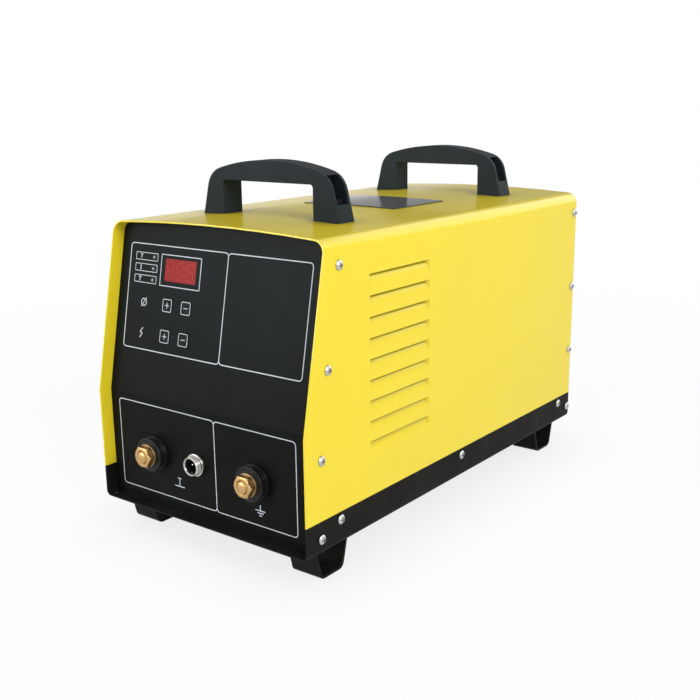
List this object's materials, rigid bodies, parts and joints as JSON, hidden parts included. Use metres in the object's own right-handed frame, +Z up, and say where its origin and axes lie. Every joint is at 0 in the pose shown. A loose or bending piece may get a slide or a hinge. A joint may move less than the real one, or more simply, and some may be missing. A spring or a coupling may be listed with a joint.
{
  "type": "insulation pin welder",
  "caption": "Box-shaped capacitor-discharge welder with sloping front panel, side louvres, two top handles, brass cable terminals and sheet-metal feet.",
  "frame": {"origin": "on the ground under the middle of the bounding box", "axes": "+Z up, +Y from the front panel to the rear panel, +X to the right seen from the front"},
  "size_m": [0.2244, 0.4434, 0.3021],
  "materials": {
    "yellow_paint": "gloss powder coat",
    "black_paint": "fine textured powder coat",
    "panel_film": "printed polycarbonate film, satin",
    "red_window": "clear red polycarbonate",
    "display_case": "moulded, satin",
    "led_lens": "diffused lens, unlit",
    "key_plastic": "satin",
    "switch_plastic": "moulded",
    "circuit_board": "solder mask on glass laminate",
    "nylon": "moulded",
    "handle_plastic": "fine grained",
    "zinc_steel": "zinc plated",
    "plain_steel": "galvanised sheet",
    "black_steel": "black oxide",
    "bare_plate": "brushed",
    "insulator": "moulded phenolic",
    "terminal_brass": "turned",
    "socket_chrome": "satin plated",
    "socket_plastic": "moulded",
    "pin_silver": "silver plated",
    "can_sleeve": "heat-shrink sleeve",
    "can_lid": "moulded phenolic",
    "copper": "copper, bare",
    "winding_tape": "tape-wrapped copper and steel",
    "sink_aluminium": "extruded",
    "module_plastic": "moulded",
    "fan_plastic": "moulded",
    "guard_chrome": "bright wire",
    "switch_body": "moulded",
    "rocker_plastic": "moulded",
    "fuse_plastic": "moulded",
    "gland_nylon": "moulded"
  },
  "bodies": {
    "case": {"cover": "yellow_paint", "base_tray": "black_paint", "front_panel": "black_paint", "panel_film": "panel_film", "rear_panel": "black_paint", "display_window": "red_window", "display_module": "display_case", "indicator_leds": "led_lens", "key_switches": "switch_plastic", "control_board": "circuit_board", "board_standoffs": "nylon", "front_handle": "handle_plastic", "rear_handle": "handle_plastic", "handle_bolts": "black_steel", "handle_nuts": "zinc_steel", "handle_straps": "plain_steel", "feet": "black_paint", "foot_screws": "zinc_steel", "case_screws": "zinc_steel", "top_plate": "bare_plate", "front_insulators": "insulator", "rear_insulators": "insulator", "terminal_studs": "terminal_brass", "stud_nuts": "terminal_brass", "socket_shell": "socket_chrome", "socket_insert": "socket_plastic", "socket_pins": "pin_silver", "socket_nut": "socket_chrome", "capacitor_cans": "can_sleeve", "capacitor_lids": "can_lid", "bar_screws": "zinc_steel", "busbar_positive": "copper", "busbar_negative": "copper", "copper_straps": "copper", "capacitor_rack": "plain_steel", "rack_posts": "zinc_steel", "equipment_shelf": "plain_steel", "transformer_winding": "winding_tape", "transformer_clamp": "zinc_steel", "heat_sink": "sink_aluminium", "power_modules": "module_plastic", "power_board": "circuit_board", "fan_frame": "fan_plastic", "fan_guard": "guard_chrome", "fan_screws": "zinc_steel", "mains_switch": "switch_body", "fuse_holder": "fuse_plastic", "cord_gland": "gland_nylon", "earth_stud": "terminal_brass"},
    "upper_plus_key": {"key_upper_plus": "key_plastic"},
    "upper_minus_key": {"key_upper_minus": "key_plastic"},
    "lower_plus_key": {"key_lower_plus": "key_plastic"},
    "lower_minus_key": {"key_lower_minus": "key_plastic"},
    "fan": {"fan_rotor": "fan_plastic"},
    "rocker": {"mains_rocker": "rocker_plastic"},
    "fuse_drawer": {"fuse_cap": "fuse_plastic"},
    "gun_ring": {"gun_washer": "terminal_brass"},
    "gun_hex": {"gun_nut": "terminal_brass"},
    "ground_ring": {"ground_washer": "terminal_brass"},
    "ground_hex": {"ground_nut": "terminal_brass"}
  },
  "joints": [
    {"name": "upper_plus_press", "type": "slide", "parent": "case", "child": "upper_plus_key", "axis": [0, 0.9811, -0.1935], "range_m": [0, 0.0005], "stiffness_N_per_m": 600},
    {"name": "upper_minus_press", "type": "slide", "parent": "case", "child": "upper_minus_key", "axis": [0, 0.9811, -0.1935], "range_m": [0, 0.0005], "stiffness_N_per_m": 600},
    {"name": "lower_plus_press", "type": "slide", "parent": "case", "child": "lower_plus_key", "axis": [0, 0.9811, -0.1935], "range_m": [0, 0.0005], "stiffness_N_per_m": 600},
    {"name": "lower_minus_press", "type": "slide", "parent": "case", "child": "lower_minus_key", "axis": [0, 0.9811, -0.1935], "range_m": [0, 0.0005], "stiffness_N_per_m": 600},
    {"name": "fan_spin", "type": "hinge", "parent": "case", "child": "fan", "pos_m": [0, 0.18915, 0.16201], "axis": [0, 1, 0], "continuous": true},
    {"name": "mains_tilt", "type": "hinge", "parent": "case", "child": "rocker", "pos_m": [-0.072, 0.19895, 0.062], "axis": [1, 0, 0], "range_deg": [0, 16]},
    {"name": "fuse_turn", "type": "hinge", "parent": "case", "child": "fuse_drawer", "pos_m": [-0.028, 0.20365, 0.06], "axis": [0, 1, 0], "range_deg": [0, 90]},
    {"name": "gun_washer_slide", "type": "slide", "parent": "case", "child": "gun_ring", "axis": [0, -1, 0], "range_m": [0, 0.004]},
    {"name": "gun_nut_turn", "type": "hinge", "parent": "gun_ring", "child": "gun_hex", "pos_m": [-0.057, -0.22065, 0.0718], "axis": [0, -1, 0], "range_deg": [0, 962]},
    {"name": "ground_washer_slide", "type": "slide", "parent": "case", "child": "ground_ring", "axis": [0, -1, 0], "range_m": [0, 0.004]},
    {"name": "ground_nut_turn", "type": "hinge", "parent": "ground_ring", "child": "ground_hex", "pos_m": [0.0523, -0.22065, 0.0718], "axis": [0, -1, 0], "range_deg": [0, 962]}
  ],
  "couplings": [
    {"joint": "gun_nut_turn", "follows": "gun_washer_slide", "rad_per_m": 4188.8},
    {"joint": "ground_nut_turn", "follows": "ground_washer_slide", "rad_per_m": 4188.8}
  ]
}
